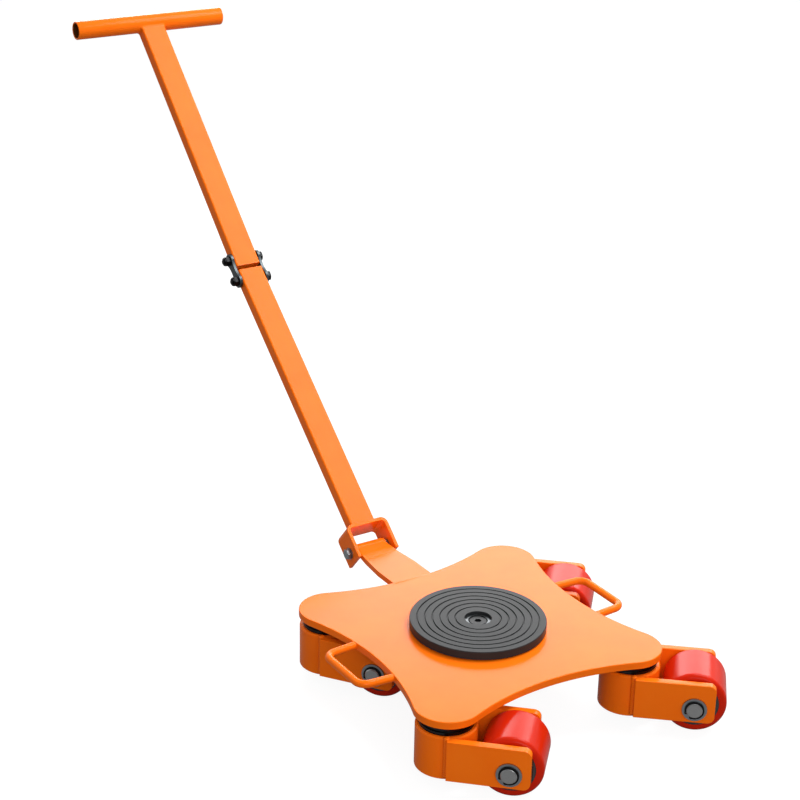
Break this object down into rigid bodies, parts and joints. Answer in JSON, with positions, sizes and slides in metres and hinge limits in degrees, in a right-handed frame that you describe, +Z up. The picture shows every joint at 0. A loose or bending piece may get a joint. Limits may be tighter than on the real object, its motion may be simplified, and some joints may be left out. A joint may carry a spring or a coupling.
{
  "type": "machine skate",
  "caption": "Machine skate with an X-shaped steel deck, a turning grooved load pad, swivelling roller casters and a folding pull bar with a T-handle.",
  "frame": {"origin": "middle of the load face, at the mouth of the load pad's centre socket, 107 mm above the floor", "axes": "+Z up, out of the load face; the pull bar leaves towards -X, its yoke bolt lies along Y"},
  "size_m": [1.1846, 0.4579, 0.7053],
  "materials": {
    "orange_paint": "gloss powder coat",
    "pad_rubber": "moulded, satin",
    "red_polyurethane": "moulded, semi-gloss",
    "turned_steel": "turned, bare",
    "bearing_steel": "ground, oiled",
    "zinc": "zinc plated",
    "spring_steel": "black oxide",
    "dark_steel": "stamped, dark phosphate",
    "bronze": "sintered bronze"
  },
  "bodies": {
    "deck": {"deck_plate": "orange_paint", "tow_tongue": "orange_paint", "tongue_barrel": "orange_paint", "left_handle": "orange_paint", "right_handle": "orange_paint", "king_pins": "turned_steel", "king_pin_washers": "zinc", "king_pin_nuts": "zinc", "swivel_bearings": "bearing_steel", "turntable_pivot": "spring_steel", "turntable_nut": "zinc", "thrust_washer": "bronze"},
    "turntable": {"turntable_disc": "turned_steel", "load_pad": "pad_rubber"},
    "tow_bar": {"yoke": "orange_paint", "yoke_bolt": "zinc", "yoke_washer": "zinc", "yoke_nut": "zinc", "lower_bar": "orange_paint"},
    "fold_links": {"link_plates": "dark_steel", "link_bolts": "spring_steel", "link_nuts": "spring_steel"},
    "upper_handle": {"upper_bar": "orange_paint", "t_bar": "orange_paint"},
    "front_left_caster": {"front_left_hub_housing": "orange_paint", "front_left_cheeks": "orange_paint", "front_left_swivel_bush": "bronze", "front_left_axle": "turned_steel", "front_left_axle_washers": "zinc", "front_left_retaining_rings": "spring_steel"},
    "front_left_roller": {"front_left_roller_core": "turned_steel", "front_left_roller_tyre": "red_polyurethane", "front_left_roller_bearings": "bearing_steel"},
    "front_right_caster": {"front_right_hub_housing": "orange_paint", "front_right_cheeks": "orange_paint", "front_right_swivel_bush": "bronze", "front_right_axle": "turned_steel", "front_right_axle_washers": "zinc", "front_right_retaining_rings": "spring_steel"},
    "front_right_roller": {"front_right_roller_core": "turned_steel", "front_right_roller_tyre": "red_polyurethane", "front_right_roller_bearings": "bearing_steel"},
    "rear_left_caster": {"rear_left_hub_housing": "orange_paint", "rear_left_cheeks": "orange_paint", "rear_left_swivel_bush": "bronze", "rear_left_axle": "turned_steel", "rear_left_axle_washers": "zinc", "rear_left_retaining_rings": "spring_steel"},
    "rear_left_roller": {"rear_left_roller_core": "turned_steel", "rear_left_roller_tyre": "red_polyurethane", "rear_left_roller_bearings": "bearing_steel"},
    "rear_right_caster": {"rear_right_hub_housing": "orange_paint", "rear_right_cheeks": "orange_paint", "rear_right_swivel_bush": "bronze", "rear_right_axle": "turned_steel", "rear_right_axle_washers": "zinc", "rear_right_retaining_rings": "spring_steel"},
    "rear_right_roller": {"rear_right_roller_core": "turned_steel", "rear_right_roller_tyre": "red_polyurethane", "rear_right_roller_bearings": "bearing_steel"}
  },
  "joints": [
    {"name": "turntable_turn", "type": "hinge", "parent": "deck", "child": "turntable", "pos_m": [0, 0, 0], "axis": [0, 0, 1], "continuous": true},
    {"name": "tow_bar_swing", "type": "hinge", "parent": "deck", "child": "tow_bar", "pos_m": [-0.2629, 0, -0.01685], "axis": [0, 1, 0], "range_deg": [-45.3, 59.7]},
    {"name": "lower_fold", "type": "hinge", "parent": "tow_bar", "child": "fold_links", "pos_m": [-0.60109, 0, 0.27285], "axis": [0, -1, 0], "range_deg": [-88.05, 91.95]},
    {"name": "upper_fold", "type": "hinge", "parent": "fold_links", "child": "upper_handle", "pos_m": [-0.62626, 0, 0.29571], "axis": [0, -1, 0], "range_deg": [-88.05, 91.4]},
    {"name": "front_left_swivel", "type": "hinge", "parent": "deck", "child": "front_left_caster", "pos_m": [-0.13859, -0.13859, -0.0225], "axis": [0, 0, 1], "continuous": true},
    {"name": "front_left_roll", "type": "hinge", "parent": "front_left_caster", "child": "front_left_roller", "pos_m": [-0.07144, -0.08981, -0.067], "axis": [-0.5878, 0.809, 0], "continuous": true},
    {"name": "front_right_swivel", "type": "hinge", "parent": "deck", "child": "front_right_caster", "pos_m": [-0.13859, 0.13859, -0.0225], "axis": [0, 0, 1], "continuous": true},
    {"name": "front_right_roll", "type": "hinge", "parent": "front_right_caster", "child": "front_right_roller", "pos_m": [-0.08306, 0.20027, -0.067], "axis": [-0.7431, 0.6691, 0], "continuous": true},
    {"name": "rear_left_swivel", "type": "hinge", "parent": "deck", "child": "rear_left_caster", "pos_m": [0.13859, -0.13859, -0.0225], "axis": [0, 0, 1], "continuous": true},
    {"name": "rear_left_roll", "type": "hinge", "parent": "rear_left_caster", "child": "rear_left_roller", "pos_m": [0.1952, -0.07789, -0.067], "axis": [-0.7314, 0.682, 0], "continuous": true},
    {"name": "rear_right_swivel", "type": "hinge", "parent": "deck", "child": "rear_right_caster", "pos_m": [0.13859, 0.13859, -0.0225], "axis": [0, 0, 1], "continuous": true},
    {"name": "rear_right_roll", "type": "hinge", "parent": "rear_right_caster", "child": "rear_right_roller", "pos_m": [0.19194, 0.20217, -0.067], "axis": [-0.766, 0.6428, 0], "continuous": true}
  ]
}
